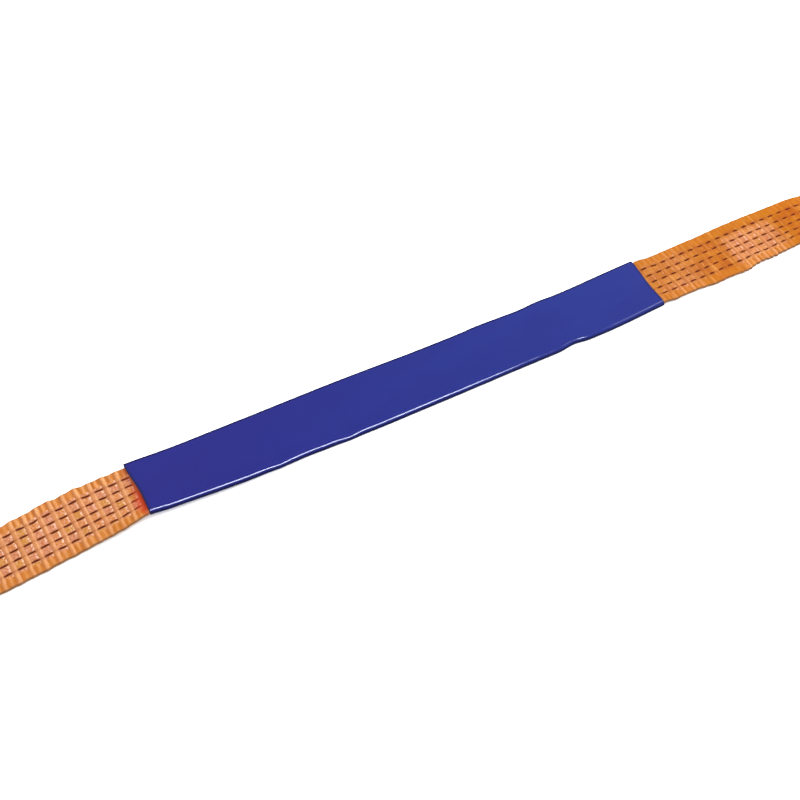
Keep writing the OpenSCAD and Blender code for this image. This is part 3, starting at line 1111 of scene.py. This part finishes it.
# ---- protective sleeve; its hills and its outline are worked in millimetres ----

SLEEVE_WALL = 0.8 * MM
SLEEVE_STEPS = 401
ROUND_LIP = 0.28 * MM
KINKS = ((1, -125, 6), (1, -68, 7))
NEAR_HILLS = ((0.3, -102, 8), (1.7, 135, 9))
FAR_HILLS = ((1.4, -225, 22), (0.5, 72, 12), (0.7, 131, 11), (-0.5, 109, 10))


def sleeve_corners(x):
    """Corners (y, z, radius) of the tube's outline at x, from the near bottom over the top and back below.

    The sleeve is widest at its mouths, its left part rises off the floor, and its near fold has two kinks.
    """
    half = SLEEVE_HALF / MM
    raised = float(fall(x, -half - 5, -60)) ** 1.3
    end = float(fall(x, -half - 10, -165))
    kinks = humps(x, KINKS)
    near = -28.45 + 3.0 * fall(x, -230, -145) + 1.4 * fall(x, -110, -25) + 1.2 * fall(x, -226, -208)
    near += humps(x, NEAR_HILLS) + 3.2 * ease(x, 165, 240) + 0.06 * wander(x, 41, 26)
    lean = 0.35 + 0.75 * fall(x, -120, -70) + 1.6 * kinks + 0.5 * hump(x, 118, 14)
    far = 26.1 - 2.0 * ease(x, -75, 40) + 3.6 * ease(x, 135, 250) + humps(x, FAR_HILLS)
    far += 0.06 * wander(x, 42, 40)
    low_near = 0.15 + 3.9 * raised
    top_near = 5.0 + 4.0 * raised + 0.08 * wander(x, 43, 30) - 0.7 * kinks
    top_far = 5.6 + 0.6 * end
    fold = (top_near - low_near) / 2 - 0.05
    far_fold = top_far / 2 - 0.1
    return [
        (near, low_near, min(1.4, 0.7 * fold)),
        (near - lean, top_near, min(2.7, 1.15 * fold)),
        (far, top_far, min(2.4 - 0.8 * end, far_fold)),
        (far + 1.9, 0.05, min(2.2, far_fold)),
        (near + 12, 0.05, 20),
    ]


def inward(points):
    """Unit normals of a closed clockwise outline, pointing into it."""
    run = unit(np.roll(points, -1, 0) - np.roll(points, 1, 0))
    return np.column_stack([run[:, 1], -run[:, 0]])


def sleeve_section(x):
    """Outer ring, inner ring and fold shade of the sleeve at x mm, with shallow buckles on its top."""
    edge = outline(sleeve_corners(x), 9, (6, 44, 4, 30, 10))
    normals = inward(edge)
    y = edge[:, 0]
    buckle = 0.16 * wander(x + 0.35 * y, 51, 34) + 0.1 * wander(x - 0.8 * y, 52, 17)
    on_top = (normals[:, 1] < -0.8) * fall(np.abs(y), 21, 26)
    edge = edge + normals * (buckle * on_top)[:, None]
    slant = 2.6 * ease(x, 175, SLEEVE_HALF / MM) - 3.4 * fall(x, -SLEEVE_HALF / MM, -175)
    place = x + slant * ease(y, -8, 27)
    # painted shade along the far fold and on the near wall below the highlight
    far_fold_shade = ease(y, y.max() - 3.3, y.max() - 1.9)
    near_wall_shade = 0.85 * fall(y, y.min() + 0.25, y.min() + 0.6)
    outer = np.column_stack([place, edge]) * MM
    inner = np.column_stack([place, edge + normals * SLEEVE_WALL / MM]) * MM
    return outer, inner, np.maximum(far_fold_shade, near_wall_shade)


def lip_rings(start, finish, outward):
    """Three rings that round the cut edge from one wall to the other."""
    rings = []
    for share, out in ((0.12, 0.75), (0.5, 1.0), (0.88, 0.75)):
        ring = start * (1 - share) + finish * share
        rings.append(ring + np.array((outward * ROUND_LIP * out, 0, 0)))
    return rings


def make_sleeve(material):
    steps = np.linspace(-SLEEVE_HALF, SLEEVE_HALF, SLEEVE_STEPS) / MM
    outer, inner, fold_shades = (list(rows) for rows in zip(*(sleeve_section(float(x)) for x in steps)))
    rings = outer + lip_rings(outer[-1], inner[-1], 1) + inner[::-1] + lip_rings(inner[0], outer[0], -1)
    around = len(outer[0])
    # painted fold shade on the outer and inner rings, none on the lips
    no_fold_shade = [np.zeros(around)] * 3
    # the cut edges of both mouths, and the outer rings beside them, get painted shade
    outer_cut_shade = np.zeros(SLEEVE_STEPS)
    outer_cut_shade[[0, -1]] = 1.0
    outer_cut_shade[[1, -2]] = 0.5
    cut_shades = np.concatenate([outer_cut_shade, np.ones(3), np.zeros(SLEEVE_STEPS), np.ones(3)])
    floats = {"cut": np.repeat(cut_shades, around), "fold": np.concatenate(fold_shades + no_fold_shade + fold_shades[::-1] + no_fold_shade)}
    faces = closed_faces(len(rings), around)
    piece = make_mesh("blue_sleeve", np.concatenate(rings), faces, material, floats=floats)
    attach(piece, "sleeve")
    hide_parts("protective_sleeve")


# ---- floor and light ----

FLOOR_REACH = 7.0
FLOOR_LINES = 25
WORLD_LIGHT = 2.2


def make_floor():
    side = np.linspace(-FLOOR_REACH, FLOOR_REACH, FLOOR_LINES)
    points = [(x, y, 0.0) for x in side for y in side]
    make_mesh("floor", points, grid_faces(FLOOR_LINES, FLOOR_LINES), floor_material())


def softbox(name, place, target, size, power, tint=(1, 1, 1)):
    data = bpy.data.lights.new(name, "AREA")
    data.shape = "RECTANGLE"
    data.size, data.size_y = size
    data.energy = power
    data.color = tint
    lamp = bpy.data.objects.new(name, data)
    lamp.location = place
    lamp.rotation_mode = "QUATERNION"
    lamp.rotation_quaternion = (Vector(target) - Vector(place)).to_track_quat("-Z", "Y")
    bpy.context.scene.collection.objects.link(lamp)
    return lamp


def make_light():
    """A white room, a lamp from the right, and a cool strip that only lights the gloss of the near fold."""
    world = bpy.data.worlds.new("studio")
    world.use_nodes = True
    sky = world.node_tree.nodes["Background"]
    sky.inputs["Color"].default_value = (1, 1, 1, 1)
    sky.inputs["Strength"].default_value = WORLD_LIGHT
    bpy.context.scene.world = world
    softbox("key", place=(1.5, 0.1, 1.5), target=(0, 0, 0), size=(0.9, 0.9), power=46)
    strip = softbox("edge_strip", place=(0.1, -0.42, 1.25), target=(0.1, 0, 0), size=(1.0, 0.5), power=260,
                    tint=(0.84, 0.91, 1.0))
    strip.visible_diffuse = False
    bpy.context.scene.view_settings.view_transform = "Standard"


def make_ends(web):
    """The eyes, seams and wear sleeves of both ends; a wear sleeve is one sewn strip of cloth."""
    sides = ("right", "left")
    cloth = cloth_material()
    orange = thread_material("orange_thread", colour(204, 138, 70), colour(150, 84, 34))
    grey = thread_material("grey_thread", colour(178, 178, 172), colour(108, 108, 104))
    for number, side in enumerate(sides):
        make_eye(web, side, 23 + number)
    cloths = [make_wear_sleeve(cloth, side, 61 + number) for number, side in enumerate(sides)]
    for number, side in enumerate(sides):
        make_splice_stitching(orange, side, 71 + number)
    seams = [make_wear_stitching(grey, side, 73 + number) for number, side in enumerate(sides)]


def make_tag():
    """The blank label with its seam."""
    label = make_label(label_material())
    thread = thread_material("label_thread", colour(182, 186, 194), colour(116, 122, 138))
    seam = make_label_stitching(thread)


def build():
    web = web_material()
    make_left_web(web)
    make_right_web(web)
    make_ends(web)
    make_tag()
    make_sleeve(pvc_material())
    make_floor()
    make_light()


build()
